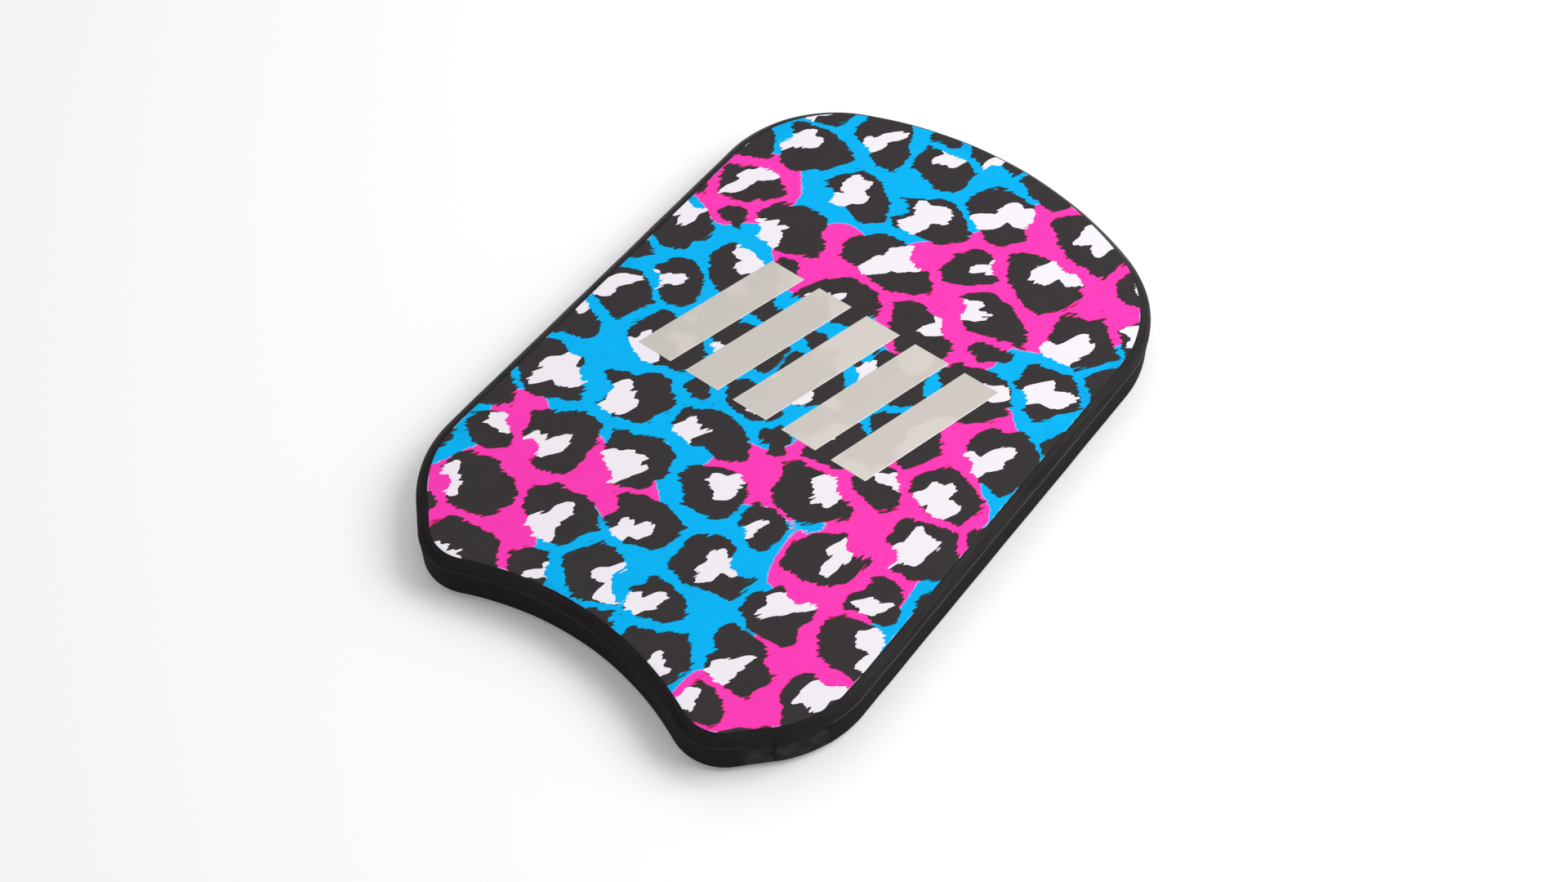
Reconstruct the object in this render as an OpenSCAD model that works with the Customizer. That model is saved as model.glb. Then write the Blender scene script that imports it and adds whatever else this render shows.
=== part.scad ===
// Swimming kickboard: a foam core with a printed sheet on each face, and a bevelled
// band glued round its edge. The board lies flat on z = 0 with its nose towards +Y.
// Its outline is a chain of arcs and straights that meet in line: nose, nose corner,
// side, shoulder, cut corner, tail lobe and notch, the same on both sides.

/* [Outline] */
// Length from the nose to the tips of the tail lobes
board_length = 435; // [400:1:480]
// Width across the parallel sides
board_width = 294; // [276:1:320]
// Radius of the rounded nose
nose_radius = 235; // [190:1:300]
// Radius of the corners between the nose and the sides
nose_corner_radius = 82; // [50:1:100]
// Radius where a side turns into its cut tail corner
shoulder_radius = 72; // [30:1:90]
// Angle by which the cut tail corners turn in from the sides
corner_angle = 45; // [35:1:55]
// Radius of the two tail lobes
lobe_radius = 31; // [18:1:38]
// Radius of the shallow notch between the lobes
notch_radius = 184; // [140:1:230]
// Depth of the notch, measured from the tips of the lobes
notch_depth = 19; // [12:0.5:24]

/* [Edge band] */
// Height of the upright outer wall of the band
wall_height = 20.5; // [14:0.5:30]
// Height of each of the two bevels
bevel_rise = 5.25; // [2:0.25:10]
// Thickness of the band, all of which the bevels run across
band_thickness = 6.75; // [4:0.25:12]
// Thickness of the band at the middle of the nose, where its bevels are steeper
nose_band_thickness = 4.5; // [3:0.25:10]
// Gap where the two ends of the band butt together
butt_gap = 0.3; // [0.1:0.1:1]

/* [Sheets] */
// Thickness of the printed top sheet
top_sheet_thickness = 0.8; // [0.4:0.1:2]
// Thickness of the underside sheet
bottom_sheet_thickness = 0.8; // [0.4:0.1:2]

/* [Foil bars] */
// Width of a bar across the board
bar_width = 24; // [12:1:27]
// Length of a bar along the board
bar_length = 96; // [50:1:120]
// Distance from one bar to the next
bar_pitch = 35; // [28:1:38]
// Lean of the bars towards the right-hand side
bar_lean = 15; // [0:1:25]
// Place of the row of bars, forward of the middle of the board
bar_row_y = 14; // [-20:1:40]
// Thickness of the foil
foil_thickness = 0.2; // [0.1:0.05:0.5]

/* [Glue lines] */
// Glue line between the core and the band
core_glue = 0.2; // [0.1:0.05:0.5]
// Gap between the edge of a sheet and the band
sheet_gap = 0.2; // [0.1:0.05:0.5]

/* [Hidden] */

// Number of foil bars in the row
bar_count = 5;
// Turn of the outline from one step of an arc to the next
degrees_per_step = 2;
// Steps closer than this are one and the same
hair = 0.01;
// Height of the whole board, over both bevels
board_thickness = wall_height + 2 * bevel_rise;

function heading(angle) = [cos(angle), sin(angle)];

// Centres of the arcs of the right-hand half, each tangent to its neighbours
half_width = board_width / 2;
half_length = board_length / 2;
nose = [0, half_length - nose_radius];
nose_corner_x = half_width - nose_corner_radius;
nose_corner = [
    nose_corner_x,
    nose.y + sqrt(pow(nose_radius - nose_corner_radius, 2) - pow(nose_corner_x, 2))
];
notch = [0, notch_depth - half_length - notch_radius];
lobe_y = lobe_radius - half_length;
lobe = [sqrt(pow(notch_radius + lobe_radius, 2) - pow(lobe_y - notch.y, 2)), lobe_y];
shoulder_x = half_width - shoulder_radius;
shoulder_lead = shoulder_radius - lobe_radius + (shoulder_x - lobe.x) * cos(corner_angle);
shoulder = [shoulder_x, lobe.y + shoulder_lead / sin(corner_angle)];

// Directions in which the nose arc and the notch arc hand over, from their centres
nose_end = atan2(nose_corner.y - nose.y, nose_corner.x);
notch_end = atan2(lobe.y - notch.y, lobe.x);

// A step along the outline is a point of it and the direction that it faces there.
// An arc turns from one facing to another; a negative radius makes it hollow.
function bend(centre, radius, from, to) =
    let (steps = ceil(abs(to - from) / degrees_per_step))
    [
        for (i = [0:steps])
            let (facing = from + (to - from) * i / steps)
            concat(centre + radius * heading(facing), facing)
    ];

// The same steps on the other side of the board, in the order that carries on round it
function mirrored(steps) =
    let (last = len(steps) - 1)
    [for (i = [last:-1:0]) [-steps[i].x, steps[i].y, 180 - steps[i].z]];

// Right-hand tail from the joint of the band to the middle of the notch
tail = concat(
    bend(lobe, lobe_radius, -corner_angle, notch_end - 180),
    bend(notch, -notch_radius, notch_end - 180, -90)
);
// Right-hand side from the middle of the nose to the joint of the band
side = concat(
    bend(nose, nose_radius, 90, nose_end),
    bend(nose_corner, nose_corner_radius, nose_end, 0),
    bend(shoulder, shoulder_radius, 0, -corner_angle)
);
joint = shoulder + shoulder_radius * heading(-corner_angle);
joint_start = concat(joint + butt_gap * heading(-90 - corner_angle), -corner_angle);

// Steps without the doubles that stand where one arc hands over to the next
function no_doubles(steps) = [
    for (i = [0:len(steps) - 1])
        if (i == 0 || norm([steps[i].x, steps[i].y] - [steps[i - 1].x, steps[i - 1].y]) > hair)
            steps[i]
];

// The whole outline, clockwise from one end of the band to the other
outline = no_doubles(concat([joint_start], tail, mirrored(tail), mirrored(side), side));

// Point of a step, set in square to the outline
function set_in(step, inset) = [step.x, step.y] - inset * heading(step.z);

// Thickness of the band where it faces that way: it thins towards the middle of the nose
function band_at(facing) =
    band_thickness - (band_thickness - nose_band_thickness) * pow(max(0, sin(facing)), 4);

// Flat region inside the band, clear of it by the same gap all round
module inside_band(gap) {
    polygon([for (step = outline) set_in(step, band_at(step.z) + gap)]);
}

// Section, as pairs of a share of the band's thickness and a height, carried round the
// outline as one strip. Its faces are triangles, since the bevels twist where it thins.
module strip(section) {
    sides = len(section);
    points = [
        for (step = outline)
            for (corner = section) concat(set_in(step, corner.x * band_at(step.z)), corner.y)
    ];
    last_ring = len(outline) - 1;
    lengthwise = [
        for (ring = [0:last_ring - 1])
            for (i = [0:sides - 1])
                let (a = ring * sides + i, b = ring * sides + (i + 1) % sides)
                each [[a, b, b + sides], [a, b + sides, a + sides]]
    ];
    start_cap = [for (i = [sides - 1:-1:0]) i];
    end_cap = [for (i = [0:sides - 1]) last_ring * sides + i];
    polyhedron(points, concat(lengthwise, [start_cap, end_cap]));
}

// Closed-cell foam slab between the two sheets
module foam_core() {
    core_height = board_thickness - bottom_sheet_thickness - top_sheet_thickness;
    color("whitesmoke") translate([0, 0, bottom_sheet_thickness])
        linear_extrude(core_height) inside_band(core_glue);
}

// Strip round the core, bevelled above and below, butted at the right-hand tail corner
module edge_band() {
    color("#1c1b1c") strip([
        [1, 0],
        [0, bevel_rise],
        [0, bevel_rise + wall_height],
        [1, board_thickness]
    ]);
}

// Sheet laminated on the underside of the core
module bottom_sheet() {
    color("deepskyblue") linear_extrude(bottom_sheet_thickness) inside_band(sheet_gap);
}

// Printed sheet laminated on top of the core
module top_sheet() {
    color("deeppink") translate([0, 0, board_thickness - top_sheet_thickness])
        linear_extrude(top_sheet_thickness) inside_band(sheet_gap);
}

// Leaning bar of foil pressed on the top sheet, counted from the left
module foil_bar(number) {
    shift = bar_length / 2 * tan(bar_lean);
    place = [(number - (bar_count + 1) / 2) * bar_pitch, bar_row_y, board_thickness];
    color("silver") translate(place) linear_extrude(foil_thickness) polygon([
        [-bar_width / 2 - shift, -bar_length / 2],
        [bar_width / 2 - shift, -bar_length / 2],
        [bar_width / 2 + shift, bar_length / 2],
        [-bar_width / 2 + shift, bar_length / 2]
    ]);
}

foam_core();
edge_band();
bottom_sheet();
top_sheet();
for (number = [1:bar_count])
    foil_bar(number);
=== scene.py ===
import math

import bpy
import numpy as np
from mathutils import Matrix, Vector


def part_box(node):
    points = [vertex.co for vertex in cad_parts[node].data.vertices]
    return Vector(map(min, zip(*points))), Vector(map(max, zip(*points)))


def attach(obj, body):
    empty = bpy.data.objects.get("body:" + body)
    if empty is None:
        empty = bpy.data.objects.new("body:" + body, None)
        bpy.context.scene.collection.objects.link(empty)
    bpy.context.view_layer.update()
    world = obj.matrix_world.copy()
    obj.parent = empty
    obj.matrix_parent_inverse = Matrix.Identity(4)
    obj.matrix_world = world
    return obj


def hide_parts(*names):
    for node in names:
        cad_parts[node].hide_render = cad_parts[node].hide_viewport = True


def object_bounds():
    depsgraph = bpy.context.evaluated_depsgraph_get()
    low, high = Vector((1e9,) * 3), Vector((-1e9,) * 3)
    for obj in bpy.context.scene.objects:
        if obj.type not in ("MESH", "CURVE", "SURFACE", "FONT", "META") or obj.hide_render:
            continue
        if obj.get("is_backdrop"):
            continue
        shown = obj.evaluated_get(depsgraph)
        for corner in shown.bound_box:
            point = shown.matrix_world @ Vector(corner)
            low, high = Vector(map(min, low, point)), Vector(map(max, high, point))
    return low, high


# Swimming kickboard, lying flat with its nose towards +Y: a foam core, a bevelled band
# round its edge, a printed sheet on each face and a row of silver bars pressed on top.
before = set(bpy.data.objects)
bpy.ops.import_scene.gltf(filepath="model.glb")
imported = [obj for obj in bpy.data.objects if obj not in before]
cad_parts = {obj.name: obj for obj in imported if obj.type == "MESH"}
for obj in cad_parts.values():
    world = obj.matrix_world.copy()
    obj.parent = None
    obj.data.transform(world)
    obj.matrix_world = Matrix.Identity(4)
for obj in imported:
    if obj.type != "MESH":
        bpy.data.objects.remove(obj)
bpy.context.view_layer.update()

# FOAM CORE
# The float itself: a slab of closed-cell polyethylene foam, sawn to the outline and glued
# inside the band. The sheets and the band hide all but its edge at the glue line.
MM = 0.001


def linear(hex_colour):
    """Linear colour of an sRGB hex value: a channel up to 0.04045 is divided by 12.92, and a
    brighter one is (c + 0.055) / 1.055 to the power 2.4."""
    srgb = np.array([int(hex_colour[i : i + 2], 16) for i in (1, 3, 5)]) / 255
    bright = ((srgb + 0.055) / 1.055) ** 2.4
    return (*np.where(srgb <= 0.04045, srgb / 12.92, bright), 1.0)


def feed(tree, node, inputs):
    """Gives each input of a node a value, a socket that feeds it, or a node whose first output does."""
    for name, source in inputs.items():
        if isinstance(source, bpy.types.Node):
            source = source.outputs[0]
        if isinstance(source, bpy.types.NodeSocket):
            tree.links.new(source, node.inputs[name])
        else:
            node.inputs[name].default_value = source


def add(tree, kind, inputs, **settings):
    """Adds a shader node of that kind, with its settings and what its inputs are fed."""
    node = tree.nodes.new("ShaderNode" + kind)
    for name, value in settings.items():
        setattr(node, name, value)
    feed(tree, node, inputs)
    return node


def new_material(name, even_finish):
    """A material, its node tree and its shader, whose inputs that are the same all over are set."""
    material = bpy.data.materials.new(name)
    material.use_nodes = True
    tree = material.node_tree
    shader = tree.nodes["Principled BSDF"]
    feed(tree, shader, even_finish)
    return material, tree, shader


# Sawn foam: cut cells a millimetre across, each a small pit with a paler rim.
sawn_foam, tree, shader = new_material("Sawn polyethylene foam", {"Roughness": 0.85, "IOR": 1.5})
place = add(tree, "TexCoord", {}).outputs["Object"]
cells = add(tree, "TexVoronoi", {"Vector": place, "Scale": 1 / (1.0 * MM)})
tone = add(tree, "MixRGB", {"Fac": cells, "Color1": linear("#D8D6D0"), "Color2": linear("#F4F3EF")})
pits = add(tree, "Bump", {"Height": cells, "Strength": 0.5, "Distance": 0.3 * MM})
feed(tree, shader, {"Base Color": tone, "Normal": pits})

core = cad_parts["foam_core"]
core.data.materials.clear()
core.data.materials.append(sawn_foam)

# EDGE BAND
# One strip of black closed-cell EVA foam, heat-pressed to a bevelled section, bent round
# the core and glued. Its ends butt at the right-hand tail corner, where they were rubbed smooth.
nose_radius = 235 * MM
nose_corner_radius = 82 * MM
shoulder_radius = 72 * MM
lobe_radius = 31 * MM
notch_radius = 184 * MM
notch_depth = 19 * MM
corner_angle = math.radians(45)
half_width, half_length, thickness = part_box("edge_band")[1]

# Centres of the outline's arcs on the right-hand side, each tangent to its neighbours
nose = np.array([0, half_length - nose_radius])
nose_corner_x = half_width - nose_corner_radius
nose_corner_rise = math.sqrt((nose_radius - nose_corner_radius) ** 2 - nose_corner_x**2)
nose_corner = np.array([nose_corner_x, nose[1] + nose_corner_rise])
notch = np.array([0, notch_depth - half_length - notch_radius])
lobe_rise = lobe_radius - half_length - notch[1]
lobe_x = math.sqrt((notch_radius + lobe_radius) ** 2 - lobe_rise**2)
lobe = np.array([lobe_x, notch[1] + lobe_rise])
shoulder_x = half_width - shoulder_radius
shoulder_lead = shoulder_radius - lobe_radius + (shoulder_x - lobe_x) * math.cos(corner_angle)
shoulder = np.array([shoulder_x, lobe[1] + shoulder_lead / math.sin(corner_angle)])
nose_end = math.atan2(nose_corner_rise, nose_corner_x)
notch_end = math.atan2(lobe_rise, lobe_x) - math.pi
arc_steps = 120


def bend(centre, radius, start, end):
    """Steps of an arc, as x, y and facing: the centre plus the radius along a facing that turns
    evenly from start to end. A negative radius makes the arc hollow."""
    facing = np.linspace(start, end, arc_steps)
    return np.c_[centre[0] + radius * np.cos(facing), centre[1] + radius * np.sin(facing), facing]


side_from_nose = np.vstack(
    [
        bend(nose, nose_radius, math.pi / 2, nose_end),
        bend(nose_corner, nose_corner_radius, nose_end, 0),
    ]
)
side_to_notch = np.vstack(
    [
        bend(shoulder, shoulder_radius, 0, -corner_angle),
        bend(lobe, lobe_radius, -corner_angle, notch_end),
        bend(notch, -notch_radius, notch_end, -math.pi / 2),
    ]
)
right_side = np.vstack([side_from_nose, side_to_notch])
left_side = right_side[::-1] * [-1, 1, -1] - [0, 0, math.pi]
lap = np.vstack([right_side, left_side])
two_laps = np.vstack([lap, lap - [0, 0, 2 * math.pi]])
travel = np.cumsum(np.r_[0, np.hypot(*np.diff(two_laps[:, :2], axis=0).T)])
lap_length = travel[len(lap)]
joint_travel = travel[len(side_from_nose) + arc_steps - 1]

# Steps round the board from one end of the band to the other, closer together beside the joint
butt_gap = 0.06 * MM
step_length = 1.5 * MM
joint_step, joint_steps = 0.4 * MM, 10
beside_joint = joint_step * np.arange(joint_steps + 1)
run = np.linspace(0, lap_length - butt_gap, round(lap_length / step_length))
run = np.unique(np.r_[run, beside_joint, run[-1] - beside_joint])
past_joint = np.where(run < lap_length / 2, run, run - run[-1])[:, None]
band_path = np.stack(
    [np.interp(joint_travel + butt_gap / 2 + run, travel, column) for column in two_laps.T], 1
)
facing = band_path[:, 2:]

# The section, by its girth from the inner top edge over the bevel, the wall and the lower bevel,
# with points closer together at the creases
band_thickness = 6.75 * MM
nose_band_thickness = 4.5 * MM
bevel_rise = 5.25 * MM
bevel_length = math.hypot(band_thickness, bevel_rise)
wall_height = thickness - 2 * bevel_rise
upper_crease, lower_crease, whole_girth = np.cumsum([bevel_length, wall_height, bevel_length])
corners = [0, upper_crease, lower_crease, whole_girth]
bevel_points, crease_points, wall_points = 15, 19, 8
close_to_crease = 1.2 * MM
upper_girth = np.r_[
    np.linspace(0, upper_crease, bevel_points),
    np.linspace(upper_crease - close_to_crease, upper_crease + close_to_crease, crease_points),
    np.linspace(upper_crease, upper_crease + wall_height / 2, wall_points),
]
girth = np.unique(np.round(np.r_[upper_girth, whole_girth - upper_girth], 7))
flat_inset = np.interp(girth, corners, [band_thickness, 0, 0, band_thickness])
flat_height = np.interp(girth, corners, [thickness, thickness - bevel_rise, bevel_rise, 0])
bevel_tilt = math.atan2(band_thickness, bevel_rise)
crease_half = 0.4 * MM
tilt = np.interp(
    girth,
    [
        upper_crease - crease_half,
        upper_crease + crease_half,
        lower_crease - crease_half,
        lower_crease + crease_half,
    ],
    [bevel_tilt, 0, 0, -bevel_tilt],
)


def hump(distance, width):
    """A smooth hump: the exponential of minus the square of the distance over the width."""
    return np.exp(-((distance / width) ** 2))


def towards_nose(facing):
    """Share of the nose in a facing: the fourth power of its sine, and none on the tail's half."""
    return np.maximum(0, np.sin(facing)) ** 4


# How far the surface swells from the flat section: crowned bevels with a rolled inner edge and a
# sharp bead along each crease
crown_height = 0.7 * MM
roll_depth, roll_width = 0.3 * MM, 0.5 * MM
bead_height, bead_width = 0.18 * MM, 0.5 * MM
from_inner_edge = np.minimum(girth, whole_girth - girth)
along_bevel = np.clip(from_inner_edge / bevel_length, 0, 1)
crown = crown_height * 4 * along_bevel * (1 - along_bevel)
inner_roll = -roll_depth * np.exp(-from_inner_edge / roll_width)
on_crease = hump(np.minimum(abs(girth - upper_crease), abs(girth - lower_crease)), bead_width)
bead = bead_height * on_crease

# Beside the joint the upper crease is rubbed round, and the butted ends pinch in below it.
rubbed_tail, rubbed_side, rubbed_fade = 16 * MM, 30 * MM, 5 * MM
rounding_depth, rounding_width = 1.1 * MM, 3 * MM
pinch_depth, pinch_length = 0.2 * MM, 0.5 * MM
wall_fade = 2 * MM
into_rubbed = np.maximum(rubbed_tail - run, run - run[-1] + rubbed_side)
rubbed = np.clip(into_rubbed / rubbed_fade + 0.5, 0, 1)[:, None]
rubbed = rubbed * rubbed * (3 - 2 * rubbed)
rounding = rounding_depth * hump(girth - upper_crease, rounding_width)
on_wall = np.clip((girth - upper_crease) / wall_fade, 0, 1)
pinch = -pinch_depth * np.exp(-abs(past_joint) / pinch_length) * on_wall

# The crease that comes from the side stops at the rubbed stretch with a small dent under it.
dent_depth, dent_length = 0.6 * MM, 3.5 * MM
dent_drop, dent_width = 0.9 * MM, 0.707 * MM
dent_run = hump(run - run[-1] + rubbed_side, dent_length)[:, None]
dent = -dent_depth * dent_run * hump(girth - upper_crease - dent_drop, dent_width)

# The strip was bent by hand, which left long low ripples round the board, and hand pressure while
# it was glued left shallow hollows about 10 mm long in the bevels.
ripple_height, hollow_depth = 0.06 * MM, 0.025 * MM
waves = sum(
    np.sin(2 * math.pi * run / (length * MM) + phase)
    for length, phase in ((173, 0.4), (89, 2.1), (41, 4.0))
)
hollows = sum(
    np.sin(2 * math.pi * (run[:, None] / (length * MM) + girth / (width * MM)) + phase)
    for length, width, phase in ((23, 31, 0.9), (14, -19, 3.3), (9.1, 13, 5.0))
)
ripple = ripple_height * waves[:, None] * np.sin(math.pi * girth / whole_girth)
ripple = ripple + hollow_depth * hollows * np.sin(math.pi * along_bevel)

# Towards the middle of the nose the band thins, and its steeper bevels are flat. The end that comes
# from the side sits a little low at the joint, less so up its bevels.
drop_depth, drop_length = 0.4 * MM, 12 * MM
at_nose = towards_nose(facing)
thinned = 1 - at_nose * (1 - nose_band_thickness / band_thickness)
swell = crown * (1 - at_nose) + inner_roll + bead * (1 - rubbed) - rounding * rubbed
swell = swell + pinch + dent + ripple
end_drop = drop_depth * hump(run[-1] - run, drop_length)[:, None]
band_inset = thinned * flat_inset - swell * np.cos(tilt)
band_height = flat_height + swell * np.sin(tilt) - end_drop * along_bevel * flat_height / thickness
band_height = np.clip(band_height, 0, thickness)
band_points = np.stack(
    [
        band_path[:, :1] - band_inset * np.cos(facing),
        band_path[:, 1:2] - band_inset * np.sin(facing),
        band_height,
    ],
    -1,
)


def quads(numbers):
    """Faces between neighbouring rows and columns of an array of point numbers, turned outwards
    where the rows run up and the columns to the right."""
    corner = [numbers[:-1, :-1], numbers[:-1, 1:], numbers[1:, 1:], numbers[1:, :-1]]
    return np.stack(corner, -1).reshape(-1, 4).tolist()


def new_piece(name, points, faces, material, node, slot, **fields):
    """A piece of the board in place of a CAD node, with its fields stored at its points."""
    sharpest_smooth = math.radians(50)
    mesh = bpy.data.meshes.new(name)
    mesh.from_pydata(points.reshape(-1, 3).tolist(), [], faces)
    mesh.shade_smooth()
    mesh.set_sharp_from_angle(angle=sharpest_smooth)
    mesh.materials.append(material)
    for field, values in fields.items():
        attribute = mesh.attributes.new(field, "FLOAT_VECTOR", "POINT")
        attribute.data.foreach_set("vector", values.astype(np.float32).ravel())
    piece = bpy.data.objects.new(name, mesh)
    bpy.context.scene.collection.objects.link(piece)
    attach(piece, "root")
    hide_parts(node)


# Pressed EVA foam: the wall is dead black with a fine open grain. The bevels are painted greyer than
# the wall, partly their pressed finish and partly a painted highlight, with painted highlight streaks
# along the band, and the crease is painted lighter, partly wear and partly a painted highlight. Glue
# has smudged the butted ends. The pores are drawn 0.8 mm across, about twice their size, so that they
# show.
pressed_foam, tree, shader = new_material(
    "Pressed black EVA foam", {"IOR": 1.5, "Specular IOR Level": 0.05}
)
streak_length, streak_width = 50, 3.0
place = add(tree, "TexCoord", {}).outputs["Object"]
pores = add(tree, "TexNoise", {"Vector": place, "Scale": 1 / (0.8 * MM), "Detail": 2.0})
patches = add(tree, "TexNoise", {"Vector": place, "Scale": 1 / (35 * MM), "Detail": 3.0})
finish = add(tree, "Attribute", {}, attribute_name="finish").outputs["Vector"]
# Channels of the finish: the bevels' painted highlight together with the real greying of the wall beside
# the joint, the crease's wear and painted highlight, and the glue smudge.
pressed, worn_and_highlit, smudged = add(tree, "SeparateXYZ", {"Vector": finish}).outputs
# Painted highlight: lighter streaks along the band on the bevels.
highlight_streaks = add(tree, "Attribute", {}, attribute_name="lengthwise").outputs["Vector"]
highlight_streaks = add(tree, "Mapping", {"Vector": highlight_streaks, "Scale": (1 / streak_length, 1 / streak_width, 1)})
highlight_streaks = add(tree, "TexNoise", {"Vector": highlight_streaks, "Scale": 1.0, "Detail": 3.0, "Roughness": 0.6})
highlight_streaks = add(tree, "MapRange", {"Value": highlight_streaks, "From Min": 0.35, "From Max": 0.75})
porous = add(tree, "MixRGB", {"Fac": pores, "Color1": linear("#0B0A0B"), "Color2": linear("#242122")})
# The bevels' colour, greyer than the wall: partly the pressed finish, partly a painted highlight.
bevel_tone_and_highlight = add(tree, "MixRGB", {"Fac": patches, "Color1": linear("#1A1819"), "Color2": linear("#2C292A")})
bevel_tone_and_highlight = add(tree, "MixRGB", {"Fac": highlight_streaks, "Color1": bevel_tone_and_highlight, "Color2": linear("#363233")})
colour = add(tree, "MixRGB", {"Fac": pressed, "Color1": porous, "Color2": bevel_tone_and_highlight})
# The crease is painted lighter: partly wear, partly a painted highlight.
colour = add(tree, "MixRGB", {"Fac": worn_and_highlit, "Color1": colour, "Color2": linear("#4A4546")})
colour = add(tree, "MixRGB", {"Fac": smudged, "Color1": colour, "Color2": linear("#060606")})
rough = add(
    tree,
    "MapRange",
    {"Value": patches, "From Min": 0.3, "From Max": 0.7, "To Min": 0.52, "To Max": 0.4},
)
rough = add(tree, "MapRange", {"Value": pressed, "To Min": 0.75, "To Max": rough})
rough = add(tree, "MapRange", {"Value": worn_and_highlit, "To Min": rough, "To Max": 0.28})
grain = add(tree, "Bump", {"Height": pores, "Strength": 0.35, "Distance": 0.15 * MM})
feed(tree, shader, {"Base Color": colour, "Roughness": rough, "Normal": grain})

# The painted highlight on the bevels and along the crease is strongest at the nose and the sides
# and fades towards the tail, which is left darker as painted shade where less light falls.
darkest_y, light_fade, least_light = -225 * MM, 110 * MM, 0.15
bevel_fade = 0.6 * MM
# Painted shade: the share of painted highlight on the bevels and the crease falls off towards the tail.
light_share = np.clip((band_path[:, 1:2] - darkest_y) / light_fade, least_light, 1)
# The crease's painted highlight and wear, none on the rubbed stretch.
crease_wear_and_highlight = light_share * on_crease * (1 - rubbed)
on_bevel = np.clip(1 - np.minimum(girth - upper_crease, lower_crease - girth) / bevel_fade, 0, 1)

# Glue smudged the joint in a wavering line, and uneven rubbing greyed the wall on both sides of it.
waver_reach, waver_length = 0.8 * MM, 15 * MM
smudge_width = 1.3 * MM
waver = waver_reach * np.sin(2 * math.pi * girth / waver_length)
smudge = 0.95 * on_wall * hump(past_joint - waver, smudge_width)
greyed = 0.5 * rubbed * on_wall * (1 + 0.25 * hollows)
# Painted highlight on the bevels, weaker towards the tail, and the real greying of the wall beside the
# joint.
bevel_highlight_and_greying = np.maximum(on_bevel * (0.3 + 0.7 * light_share), greyed)

rings, around = band_height.shape
numbers = np.arange(rings * around).reshape(rings, around)
closed = np.c_[numbers, numbers[:, :1]]
new_piece(
    "rim_band",
    band_points,
    quads(closed) + [numbers[0, ::-1].tolist(), numbers[-1].tolist()],
    pressed_foam,
    "edge_band",
    "edge_rubber",
    finish=np.stack([bevel_highlight_and_greying, crease_wear_and_highlight, smudge], -1),
    lengthwise=np.stack(np.broadcast_arrays(run[:, None], girth, 0.0), -1) / MM,
)

# PRINTED SHEETS
# A thin EVA sheet is laminated on each face of the core and trimmed to the band. An animal print
# in cyan, pink, white and charcoal inks covers it, and its trimmed edge shows as a pale line.
sheet_gap = 0.2 * MM
edge_roll, edge_roll_width = 0.25 * MM, 0.7 * MM
columns, rows, side_points = 236, 340, 300
crowding = 0.4
top_seed, underside_seed = 8, 5

# Sizes of the print in millimetres. Its teeth and hearts run along the hair, and spots are drawn out
# across the board by the widening. A spot's outline overlaps its neighbours', which then cut it back.
spot_radii = (19, 17, 15.5, 13.5, 11.5, 8.5)
smallest_open = 10.5
spot_clearance = 1.6
outline_share = 1.22
widening = 1.12
hair_way = math.radians(58)
# Farther than any place is from its nearest spot
far_off = 99.0

# Broad areas where the print's ground is pink, as circles of x, y and radius in millimetres that
# melt together: beside the left-hand nose corner, from the nose down the right-hand side, and across
# the left-hand tail
pink_zones = (
    (-116, 100, 33), (-40, 80, 32),
    (80, 164, 58), (34, 98, 46), (96, 30, 27), (108, -32, 35), (44, -50, 27), (12, -76, 21),
    (96, -94, 37), (118, -152, 35), (106, -206, 40),
    (-112, -120, 23), (-72, -130, 27), (-32, -122, 21), (-92, -190, 44),
)
pink_melt = 8.0


def thrown_spots(random):
    """Places and radii of the spots. Places are drawn at random for the largest size first, and a spot
    stays where it clears the others, in a plane that is narrowed across and drawn out along the
    board by the widening."""
    half_x, half_y, tries = 165, 235, 700
    spots = np.empty((0, 3))
    for radius in spot_radii:
        for place in random.uniform((-half_x, -half_y), (half_x, half_y), (tries, 2)):
            away = (spots[:, :2] - place) * (1 / widening, widening)
            room = np.hypot(*away.T) - spots[:, 2] - radius
            if room.min(initial=far_off) > spot_clearance:
                spots = np.vstack([spots, [*place, radius * random.uniform(0.94, 1.06)]])
    return spots


def turned(dx, dy, way):
    """Parts of a distance dx, dy along and across a way."""
    return dx * math.cos(way) + dy * math.sin(way), dy * math.cos(way) - dx * math.sin(way)


def outside_oval(u, v, radius, stretch, wobble, random):
    """Distance outside an oval, which is a circle drawn out along u and narrowed along v by the
    stretch, with waves of 2, 3, 5 and 8 to the round that start at random."""
    u, v = u / stretch, v * stretch
    angle = np.arctan2(v, u)
    waves = sum(
        wobble * share * np.cos(count * angle + random.uniform(0, 2 * math.pi))
        for count, share in ((2, 1.0), (3, 1.0), (5, 0.5), (8, 0.3))
    )
    return np.hypot(u, v) - radius * (1 + waves)


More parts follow.
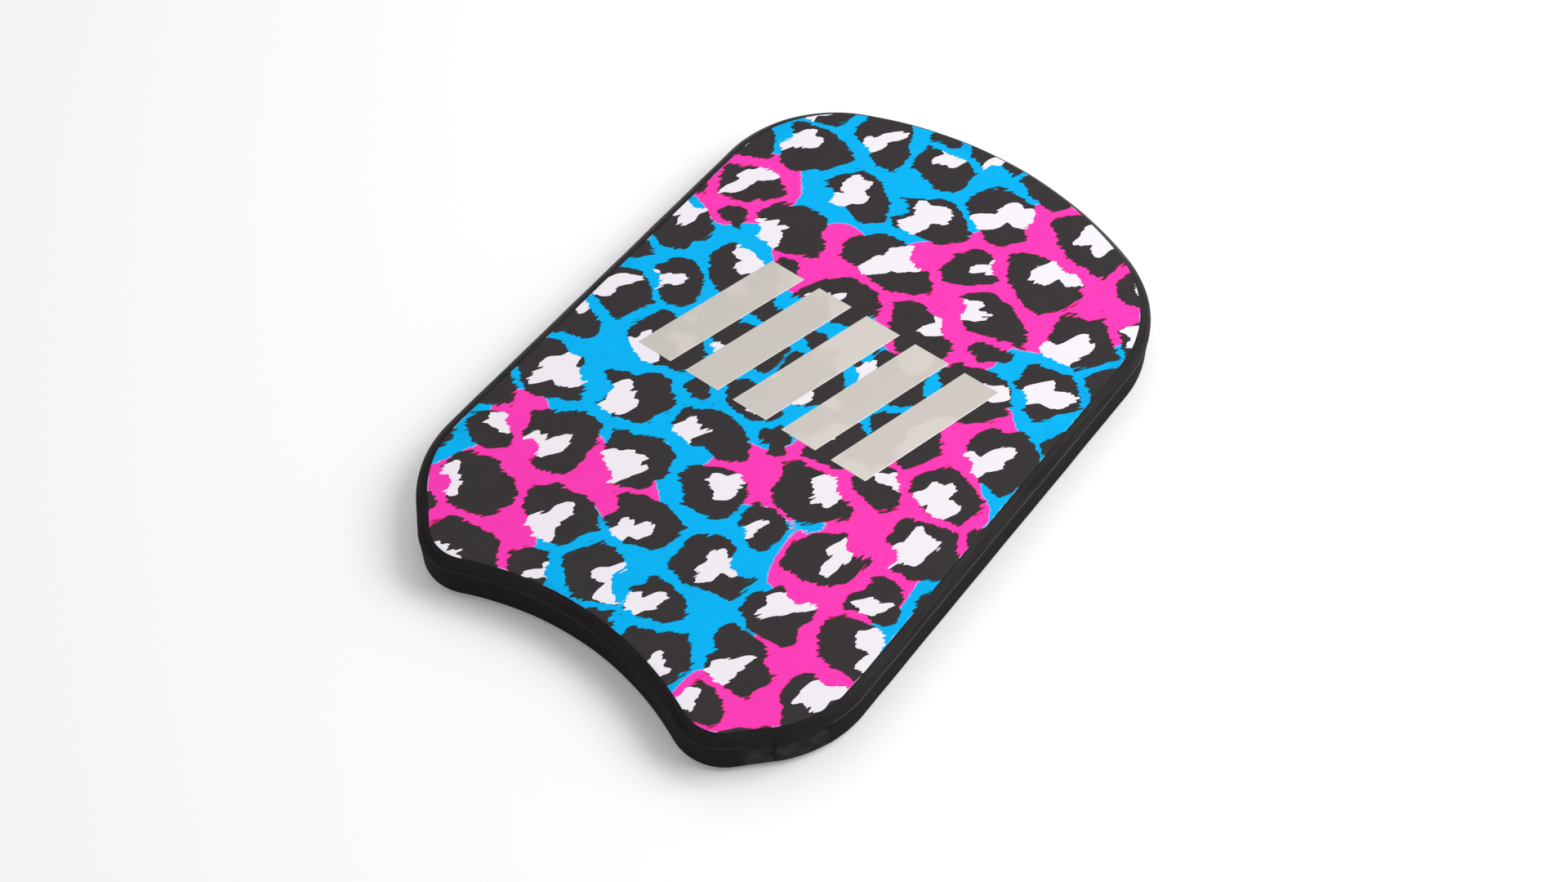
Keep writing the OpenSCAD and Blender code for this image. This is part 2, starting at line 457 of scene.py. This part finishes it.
def spot_fields(x, y, seed):
    """Distance outside the nearest spot, outside its pale heart, and the place across and along the
    hair of that spot, at points x, y. A spot is a wide oval bitten into by a round mouth. Its heart
    is a smaller oval, drawn out along the hair, and in most spots moved along it until it opens in
    the spot's edge. Neighbours are cut back from the line half-way between them by a gap that two
    plane waves open and close, and the cut blends into the outline."""
    random = np.random.default_rng(seed)
    nearest = np.full(x.shape, far_off)
    next_nearest, outline, heart = nearest.copy(), nearest.copy(), nearest.copy()
    across, along = np.zeros_like(x), np.zeros_like(x)
    for spot_x, spot_y, radius in thrown_spots(random):
        dx, dy = x - spot_x, y - spot_y
        has_heart = radius > smallest_open
        u, v = turned(dx, dy, hair_way + random.normal(0, 0.2))
        wide = turned(dx, dy, random.normal(0, 0.4))
        wide_stretch = random.uniform(1.0, 1.28)
        wobble = 0.13 if has_heart else 0.2
        edge = outside_oval(*wide, outline_share * radius, wide_stretch, wobble, random)
        open_way = random.choice((0, math.pi)) + random.normal(0, 0.55)
        mouth_way = open_way if random.random() < 0.75 else random.uniform(0, 2 * math.pi)
        mouth_at, mouth_radius = random.uniform((1.05, 0.3), (1.35, 0.55)) * radius
        mouth_u, mouth_v = mouth_at * math.cos(mouth_way), mouth_at * math.sin(mouth_way)
        edge = np.maximum(edge, mouth_radius - np.hypot(u - mouth_u, v - mouth_v))
        heart_at = random.choice((0.25, 0.55, 0.75, 0.9)) * radius
        heart_u, heart_v = u - heart_at * math.cos(open_way), v - heart_at * math.sin(open_way)
        heart_share, heart_stretch = random.uniform((0.5, 1.15), (0.72, 1.45))
        inner = outside_oval(heart_u, heart_v, heart_share * radius, heart_stretch, 0.24, random)
        reach = np.hypot(dx / widening, dy * widening) - radius
        own = reach < nearest
        next_nearest = np.where(own, nearest, np.minimum(next_nearest, reach))
        nearest = np.where(own, reach, nearest)
        outline = np.where(own, edge, outline)
        heart = np.where(own, inner if has_heart else far_off, heart)
        across, along = np.where(own, v, across), np.where(own, u, along)
    blend = 6.0
    gap = 4.4 + 1.5 * (np.sin(x / 13 + y / 21) + np.sin(x / 17 - y / 11))
    cut = (gap - next_nearest + nearest) / 2
    near_cut = np.maximum(0, 1 - abs(outline - cut) / blend)
    spot = np.maximum(outline, cut) + blend / 4 * near_cut**2
    return spot, heart, across, along


def outside_pink(x, y):
    """Distance past the pink ground at points x, y: the soft minimum of the distances outside its
    circles, which is the log of the summed exponentials of each one's depth over the melt, times the
    melt, turned negative. Three plane waves ruffle it."""
    depths = (radius - np.hypot(x - zone_x, y - zone_y) for zone_x, zone_y, radius in pink_zones)
    ground = -pink_melt * np.log(sum(np.exp(depth / pink_melt) for depth in depths))
    ground = ground + 2.6 * np.sin(x / 19 - y / 15)
    return ground + 2.2 * np.sin(x / 11 + y / 7) + 1.8 * np.sin(x / 6 - y / 9)


# Printed EVA sheet: flat matte inks, with torn, hair-like edges to the spots. The charcoal overlaps
# its ground by a thin darker fringe, which the pale hearts lack where they open on it, and cyan and
# pink leave a hairline of bare sheet between them. The trimmed edge shows pale through these two
# inks, which are speckled with dust, and the cyan is scuffed here and there near it.
printed_sheet, tree, shader = new_material(
    "Screen-printed EVA sheet", {"IOR": 1.46, "Specular IOR Level": 0.07}
)
fringe_width, hairline_half = 0.4, 0.15
place = add(tree, "TexCoord", {}).outputs["Object"]
fields = add(tree, "Attribute", {}, attribute_name="print_fields").outputs["Vector"]
past_spot, past_heart, past_pink = add(tree, "SeparateXYZ", {"Vector": fields}).outputs
hair = add(tree, "Attribute", {}, attribute_name="hair").outputs["Vector"]
from_trim = add(tree, "SeparateXYZ", {"Vector": hair}).outputs["Z"]

# Torn edges have two sizes of teeth along the hair, the small ones deeper in some places than others.
# The border of the two ground inks is smoother than the spots and takes half of the teeth.
teeth = []
for tooth_width, tooth_length, depth in ((3.4, 14.0, 1.5), (1.5, 10.0, 1.1)):
    torn = add(tree, "Mapping", {"Vector": hair, "Scale": (1 / tooth_width, 1 / tooth_length, 0)})
    torn = add(tree, "TexNoise", {"Vector": torn, "Scale": 1.0, "Detail": 1.0})
    torn = add(
        tree,
        "MapRange",
        {"Value": torn, "From Min": 0.25, "From Max": 0.75, "To Min": -depth, "To Max": depth},
    )
    teeth.append(torn)
large_teeth, small_teeth = teeth
ragged = add(tree, "TexNoise", {"Vector": place, "Scale": 1 / (14 * MM), "Detail": 1.0})
ragged = add(
    tree,
    "MapRange",
    {"Value": ragged, "From Min": 0.35, "From Max": 0.65, "To Min": 0.3, "To Max": 1.6},
)
tooth = add(tree, "Math", {0: small_teeth, 1: ragged, 2: large_teeth}, operation="MULTIPLY_ADD")
frayed_spot = add(tree, "Math", {0: tooth, 1: past_spot}, operation="ADD")
frayed_heart = add(tree, "Math", {0: tooth, 1: past_heart}, operation="ADD")
frayed_pink = add(tree, "Math", {0: tooth, 1: 0.5, 2: past_pink}, operation="MULTIPLY_ADD")
in_spot = add(tree, "Math", {0: frayed_spot, 1: 0.0}, operation="LESS_THAN")
in_fringe = add(tree, "Math", {0: frayed_spot, 1: fringe_width}, operation="LESS_THAN")
in_heart = add(tree, "Math", {0: frayed_heart, 1: 0.0}, operation="LESS_THAN")
in_pink = add(tree, "Math", {0: frayed_pink, 1: 0.0}, operation="LESS_THAN")

# The ground is cyan and pink, a little mottled, with a patchy hairline between them.
mottle = add(tree, "TexNoise", {"Vector": place, "Scale": 1 / (9 * MM), "Detail": 4.0})
pink = add(tree, "MixRGB", {"Fac": mottle, "Color1": linear("#FA36B2"), "Color2": linear("#FF42BE")})
cyan = add(tree, "MixRGB", {"Fac": mottle, "Color1": linear("#00AEF0"), "Color2": linear("#00BAFA")})
ink = add(tree, "MixRGB", {"Fac": in_pink, "Color1": cyan, "Color2": pink})
hairline = add(tree, "Math", {0: frayed_pink}, operation="ABSOLUTE")
hairline = add(tree, "Math", {0: hairline, 1: hairline_half}, operation="LESS_THAN")
hairline = add(tree, "Math", {0: hairline, 1: mottle}, operation="MULTIPLY")
ink = add(tree, "MixRGB", {"Fac": hairline, "Color1": ink, "Color2": linear("#E3D6F4")})

# Scuffs are patches of fine scratches in the cyan, mostly near the trimmed edge.
scratch_way, scratch_width, scratch_length = 0.6, 1.11 * MM, 2.5 * MM
scratches = add(
    tree,
    "Mapping",
    {
        "Vector": place,
        "Rotation": (0, 0, scratch_way),
        "Scale": (1 / scratch_width, 1 / scratch_length, 1),
    },
)
scratches = add(tree, "TexNoise", {"Vector": scratches, "Scale": 1.0, "Detail": 3.0, "Roughness": 0.6})
scratches = add(tree, "MapRange", {"Value": scratches, "From Min": 0.4, "From Max": 0.7})
near_trim = add(
    tree,
    "MapRange",
    {"Value": from_trim, "From Min": 3.0, "From Max": 18.0, "To Min": 0.46, "To Max": 0.72},
)
scuffs = add(tree, "TexNoise", {"Vector": place, "Scale": 1 / (26 * MM), "Detail": 2.0})
scuffs = add(tree, "MapRange", {"Value": scuffs, "From Min": near_trim, "From Max": 0.74})
scuffs = add(tree, "Math", {0: scuffs, 1: scratches}, operation="MULTIPLY")
scuffs = add(tree, "Math", {0: scuffs, 1: in_pink}, operation="SUBTRACT", use_clamp=True)
ink = add(
    tree,
    "MixRGB",
    {"Fac": scuffs, "Color1": ink, "Color2": linear("#9CB4C4")},
    blend_type="MULTIPLY",
)

# The sheet is bare at specks of dust and along the trimmed edge, whose width is uneven.
dust_spacing, speck_radius = 30 * MM, 0.48 * MM
dust = add(tree, "TexVoronoi", {"Vector": place, "Scale": 1 / dust_spacing})
dust = add(tree, "Math", {0: dust, 1: speck_radius / dust_spacing}, operation="LESS_THAN")
trimmed = add(
    tree,
    "MapRange",
    {"Value": mottle, "From Min": 0.45, "From Max": 0.65, "To Min": 0.0, "To Max": 0.5},
)
trimmed = add(tree, "Math", {0: from_trim, 1: trimmed}, operation="LESS_THAN")
bare = add(tree, "Math", {0: dust, 1: trimmed}, operation="MAXIMUM")
ink = add(tree, "MixRGB", {"Fac": bare, "Color1": ink, "Color2": linear("#B4E0F8")})

# The spots go on last: the fringe on the ground, the charcoal and the white hearts.
fringe = add(tree, "Math", {0: in_fringe, 1: in_heart}, operation="SUBTRACT", use_clamp=True)
ink = add(
    tree,
    "MixRGB",
    {"Fac": fringe, "Color1": ink, "Color2": linear("#CC9080")},
    blend_type="MULTIPLY",
)
charcoal = add(tree, "MixRGB", {"Fac": mottle, "Color1": linear("#353133"), "Color2": linear("#3C383A")})
ink = add(tree, "MixRGB", {"Fac": in_spot, "Color1": ink, "Color2": charcoal})
white = add(tree, "Math", {0: in_heart, 1: in_spot}, operation="MULTIPLY")
ink = add(tree, "MixRGB", {"Fac": white, "Color1": ink, "Color2": linear("#F2EDF4")})

# The dry ink has an uneven sheen and a faint grain.
rough = add(
    tree,
    "MapRange",
    {"Value": mottle, "From Min": 0.3, "From Max": 0.7, "To Min": 0.5, "To Max": 0.6},
)
peel = add(tree, "TexNoise", {"Vector": place, "Scale": 1 / (0.8 * MM), "Detail": 1.0})
relief = add(tree, "Bump", {"Height": peel, "Strength": 0.12, "Distance": 0.1 * MM})
feed(tree, shader, {"Base Color": ink, "Roughness": rough, "Normal": relief})


def sheet_edge(steps):
    """The two sides' steps as one run of points from left to right, moved in square to the outline
    by the thickness of the band there and the gap."""
    facing = steps[:, 2:]
    thinning = (band_thickness - nose_band_thickness) * towards_nose(facing)
    inset = band_thickness + sheet_gap - thinning
    right = steps[:, :2] - inset * np.c_[np.cos(facing), np.sin(facing)]
    points = np.vstack([right * [-1, 1], right])
    return points[np.argsort(points[:, 0], kind="stable")]


def edge_distance(x, y, edge):
    """Distance of each point from the nearest point of the edge, taken a few rows at a time."""
    batches = 200
    parts = [
        np.min(np.hypot(some_x[:, None] - edge[:, 0], some_y[:, None] - edge[:, 1]), axis=1)
        for some_x, some_y in zip(
            np.array_split(x.ravel(), batches), np.array_split(y.ravel(), batches)
        )
    ]
    return np.concatenate(parts).reshape(x.shape)


# A sheet is a grid of columns from tail to nose, which crowd towards its sides, on two glued rows.
nose_edge, tail_edge = sheet_edge(side_from_nose), sheet_edge(side_to_notch)
sheet_half = half_width - band_thickness - sheet_gap
evenly = np.linspace(-1, 1, columns)
column_x = sheet_half * ((1 - crowding) * evenly + crowding * np.sin(evenly * math.pi / 2))
tail_y = np.interp(column_x, *tail_edge.T)
nose_y = np.interp(column_x, *nose_edge.T)
share = np.linspace(0, 1, rows)[:, None]
sheet_x = np.broadcast_to(column_x, (rows, columns))
sheet_y = tail_y + share * (nose_y - tail_y)
side_y = np.linspace(tail_y[-1], nose_y[-1], side_points)
side_edge = np.c_[np.full_like(side_y, sheet_half), side_y]
whole_edge = np.vstack([nose_edge, tail_edge, side_edge, side_edge * [-1, 1]])
from_edge = edge_distance(sheet_x, sheet_y, whole_edge)
top = np.arange(rows * columns).reshape(rows, columns)
base = rows * columns + np.arange(2 * columns).reshape(2, columns)
sheet_faces = (
    quads(top)
    + quads(base[:, ::-1])
    + quads(np.stack([base[0], top[0]]))
    + quads(np.stack([base[1], top[-1]])[:, ::-1])
    + [[base[1, 0], base[0, 0], *top[:, 0]], [base[0, -1], base[1, -1], *top[::-1, -1]]]
)
sheet_faces = [[int(number) for number in face] for face in sheet_faces]
for name, node, slot, outward, seed in (
    ("printed_underside", "bottom_sheet", "underside_print", -1, underside_seed),
    ("printed_top", "top_sheet", "top_print", 1, top_seed),
):
    low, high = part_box(node)
    printed_z, glued_z = (high.z, low.z) if outward > 0 else (low.z, high.z)
    surface_z = printed_z - outward * edge_roll * np.exp(-from_edge / edge_roll_width)
    points = np.vstack(
        [
            np.stack([sheet_x, sheet_y, surface_z], -1).reshape(-1, 3),
            np.c_[column_x, tail_y, np.full(columns, glued_z)],
            np.c_[column_x, nose_y, np.full(columns, glued_z)],
        ]
    )
    x, y = outward * points[:, 0] / MM, points[:, 1] / MM
    spot, heart, across, along = spot_fields(x, y, seed)
    edge = np.r_[from_edge.ravel(), np.zeros(2 * columns)] / MM
    new_piece(
        name,
        points,
        [face[::outward] for face in sheet_faces],
        printed_sheet,
        node,
        slot,
        print_fields=np.stack([spot, heart, outside_pink(x, y)], -1),
        hair=np.stack([across, along, edge], -1),
    )

# SILVER BARS
# Five leaning bars of aluminium foil, pressed on the top sheet with a heated die. They are a
# fifth of a millimetre thick, and a thin paler line round each of them is a painted highlight
# along its rounded edge.
bar_count = 5
bar_width = 24 * MM
bar_lean = math.radians(15)
bar_points = 41
rounded_width, rounded_share = 0.2 * MM, 0.35

# Hot-pressed foil: a satin silver-grey with faint paler patches where the die pressed harder, a
# few long hairline scratches and a pale rim, which is a painted highlight.
silver_foil, tree, shader = new_material("Hot-pressed aluminium foil", {"Metallic": 1.0})
scratch_way, scratch_width, scratch_length = 0.4, 0.667 * MM, 45.5 * MM
place = add(tree, "TexCoord", {}).outputs["Object"]
press = add(tree, "TexNoise", {"Vector": place, "Scale": 1 / (45 * MM), "Detail": 2.0})
press = add(tree, "MapRange", {"Value": press, "From Min": 0.52, "From Max": 0.56})
scratches = add(
    tree,
    "Mapping",
    {
        "Vector": place,
        "Rotation": (0, 0, scratch_way),
        "Scale": (1 / scratch_width, 1 / scratch_length, 1),
    },
)
scratches = add(tree, "TexNoise", {"Vector": scratches, "Scale": 1.0, "Detail": 1.0})
scratches = add(tree, "MapRange", {"Value": scratches, "From Min": 0.7, "From Max": 0.95})
rim = add(tree, "Attribute", {}, attribute_name="rim").outputs["Vector"]
rim = add(tree, "SeparateXYZ", {"Vector": rim})
rim = add(
    tree,
    "MapRange",
    {"Value": rim, "From Min": 0.35, "From Max": 0.7, "To Min": 1.0, "To Max": 0.0},
)
# The pale rim is a painted highlight; the hairline scratches are real wear.
glint_and_scratches = add(tree, "Math", {0: rim, 1: scratches}, operation="MAXIMUM")
silver = add(tree, "MixRGB", {"Fac": press, "Color1": linear("#CBC5BF"), "Color2": linear("#D2CCC5")})
silver = add(tree, "MixRGB", {"Fac": glint_and_scratches, "Color1": silver, "Color2": linear("#DAD7D1")})
rough = add(tree, "MapRange", {"Value": press, "To Min": 0.46, "To Max": 0.43})
fine = add(tree, "TexNoise", {"Vector": place, "Scale": 1 / (0.7 * MM), "Detail": 2.0})
grain = add(tree, "Bump", {"Height": fine, "Strength": 0.12, "Distance": 0.1 * MM})
feed(tree, shader, {"Base Color": silver, "Roughness": rough, "Normal": grain})

# A bar is a grid of points, closer together near its edges, with edges that round down to the sheet.
evenly = np.linspace(-1, 1, bar_points)
towards_edges = np.sign(evenly) * (1 - (1 - abs(evenly)) ** 2)
bar_x, bar_y = np.meshgrid(towards_edges, towards_edges)
top = np.arange(bar_x.size).reshape(bar_x.shape)
base = top.size + np.arange(4).reshape(2, 2)
bar_faces = quads(top) + quads(base[:, ::-1])
bar_faces += [
    [*base[0], *top[0, ::-1]],
    [*base[1, ::-1], *top[-1]],
    [base[1, 0], base[0, 0], *top[:, 0]],
    [base[0, 1], base[1, 1], *top[::-1, -1]],
]
bar_faces = [[int(number) for number in face] for face in bar_faces]
for number in range(1, bar_count + 1):
    low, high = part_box(f"foil_bar_{number}")
    middle_x, middle_y = (low.x + high.x) / 2, (low.y + high.y) / 2
    half_bar = (high.y - low.y) / 2
    x = middle_x + bar_x * bar_width / 2 + bar_y * half_bar * math.tan(bar_lean)
    y = middle_y + bar_y * half_bar
    from_rim = np.minimum(
        (1 - abs(bar_x)) * bar_width / 2 * math.cos(bar_lean), (1 - abs(bar_y)) * half_bar
    )
    z = high.z - rounded_share * (high.z - low.z) * np.exp(-from_rim / rounded_width)
    base_corners = np.stack([x, y, np.full_like(x, low.z)], -1)[np.ix_([0, -1], [0, -1])]
    points = np.vstack([np.stack([x, y, z], -1).reshape(-1, 3), base_corners.reshape(-1, 3)])
    new_piece(
        f"silver_bar_{number}",
        points,
        bar_faces,
        silver_foil,
        f"foil_bar_{number}",
        "silver_foil",
        rim=np.repeat(np.r_[from_rim.ravel(), np.zeros(4)][:, None] / MM, 3, 1),
    )

# FLOOR, LIGHT AND CAMERA
# A pale floor that runs out of sight, a white room round it, a broad lamp high beyond each nose
# corner, the right-hand one the stronger, and the camera above the right-hand tail corner.
floor_half = 6.0
floor_clearance = 0.1 * MM
room_brightness = 0.48
pale_floor, tree, shader = new_material(
    "Pale floor",
    {
        "Base Color": linear("#FAFAFA"),
        "Roughness": 0.9,
        "Emission Color": linear("#FFFFFF"),
        "Emission Strength": 0.1,
    },
)
floor_mesh = bpy.data.meshes.new("floor")
floor_mesh.from_pydata(
    [
        (x * floor_half, y * floor_half, -floor_clearance)
        for x, y in ((-1, -1), (1, -1), (1, 1), (-1, 1))
    ],
    [],
    [(0, 1, 2, 3)],
)
floor_mesh.materials.append(pale_floor)
floor = bpy.data.objects.new("floor", floor_mesh)
bpy.context.scene.collection.objects.link(floor)
floor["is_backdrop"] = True

world = bpy.data.worlds.new("white room")
bpy.context.scene.world = world
world.use_nodes = True
background = world.node_tree.nodes["Background"]
feed(world.node_tree, background, {"Color": linear("#FFFFFF"), "Strength": room_brightness})


def lamp(name, place, size, power):
    """A square lamp of that size and power at a place, turned to the middle of the board."""
    light = bpy.data.lights.new(name, "AREA")
    light.size = size
    light.energy = power
    holder = bpy.data.objects.new(name, light)
    holder.location = place
    holder.rotation_euler = (-Vector(place)).to_track_quat("-Z", "Y").to_euler()
    bpy.context.scene.collection.objects.link(holder)


lamp("key lamp", (1.01, 0.79, 1.53), size=1.3, power=26.0)
lamp("far lamp", (-0.55, 0.72, 1.45), size=1.1, power=3.4)

view_azimuth = math.radians(37.36)
view_elevation = math.radians(55.0)
view_roll = math.radians(0.29)
view_distance = 1282 * MM
view_target = Vector((5.3, -25.0, 5.25)) * MM
right = Vector((math.cos(view_azimuth), math.sin(view_azimuth), 0))
back = Vector(
    (
        math.sin(view_azimuth) * math.cos(view_elevation),
        -math.cos(view_azimuth) * math.cos(view_elevation),
        math.sin(view_elevation),
    )
)
up = back.cross(right)
turned_right = right * math.cos(view_roll) - up * math.sin(view_roll)
turned_up = right * math.sin(view_roll) + up * math.cos(view_roll)
axes = Matrix((turned_right, turned_up, back)).transposed()
camera = bpy.data.objects.new("camera", bpy.data.cameras.new("camera"))
camera.data.sensor_width = 36.0
camera.data.lens = 50.6
camera.matrix_world = Matrix.Translation(view_target + back * view_distance) @ axes.to_4x4()
bpy.context.scene.collection.objects.link(camera)
bpy.context.scene.camera = camera
bpy.context.scene.view_settings.view_transform = "Standard"

low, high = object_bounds()
